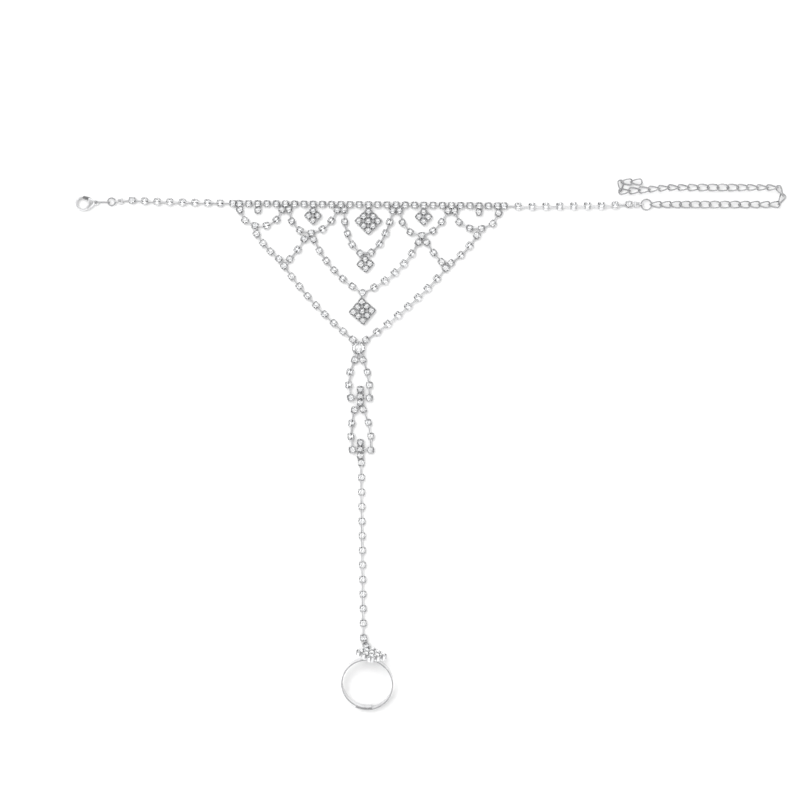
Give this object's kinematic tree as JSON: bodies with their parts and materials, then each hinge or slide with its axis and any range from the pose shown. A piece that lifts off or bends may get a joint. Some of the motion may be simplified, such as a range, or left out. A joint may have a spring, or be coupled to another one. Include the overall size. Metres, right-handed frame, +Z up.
{
  "type": "barefoot sandal anklet with toe ring",
  "caption": "Silver barefoot sandal of clear rhinestone cup chain: an anklet row with a festooned net, a neck of stone clusters, a strand to an open toe ring, a lobster clasp and an extender.",
  "frame": {"origin": "under the middle of the whole piece's box, on the surface that it lies on", "axes": "+Z up from the surface; +X along the ankle row towards the extender; +Y up the leg, away from the toe ring"},
  "size_m": [0.2594, 0.1938, 0.0114],
  "materials": {
    "silver": "polished silver plate",
    "crystal": "clear cut crystal, foiled behind"
  },
  "bodies": {
    "jewel": {"clasp_body": "silver", "clasp_link": "silver", "clasp_ring": "silver", "left_connector": "silver", "left_chain": "silver", "left_corner": "silver", "row_left": "silver", "row_right": "silver", "right_corner": "silver", "right_chain": "silver", "right_connector": "silver", "extender_ring": "silver", "extender_lower": "silver", "extender_upper": "silver", "drop_left": "silver", "drop_right": "silver", "junction_outer_left": "silver", "junction_outer_right": "silver", "diamond_left": "silver", "diamond_right": "silver", "junction_inner_left": "silver", "junction_inner_right": "silver", "diamond_centre": "silver", "scallop_outer_left": "silver", "scallop_outer_right": "silver", "scallop_inner_left": "silver", "scallop_inner_right": "silver", "scallop_centre": "silver", "diamond_upper": "silver", "side_left": "silver", "side_right": "silver", "cross_left": "silver", "cross_right": "silver", "side_joint_left": "silver", "side_joint_right": "silver", "middle_left": "silver", "middle_right": "silver", "diamond_lower": "silver", "edge_left": "silver", "edge_right": "silver", "large_stone": "silver", "loop_upper_left": "silver", "loop_upper_right": "silver", "flower_upper": "silver", "loop_lower_left": "silver", "loop_lower_right": "silver", "flower_lower": "silver", "toe_strand": "silver", "toe_ring": "silver"},
    "lever": {"clasp_lever": "silver"}
  },
  "joints": [
    {"name": "clasp_lever_hinge", "type": "hinge", "parent": "jewel", "child": "lever", "pos_m": [-0.12415, 0.08903, 0.001], "axis": [0, 0, 1], "range_deg": [0, 20], "stiffness_Nm_per_rad": 0.001, "springref_deg": -5.73}
  ]
}
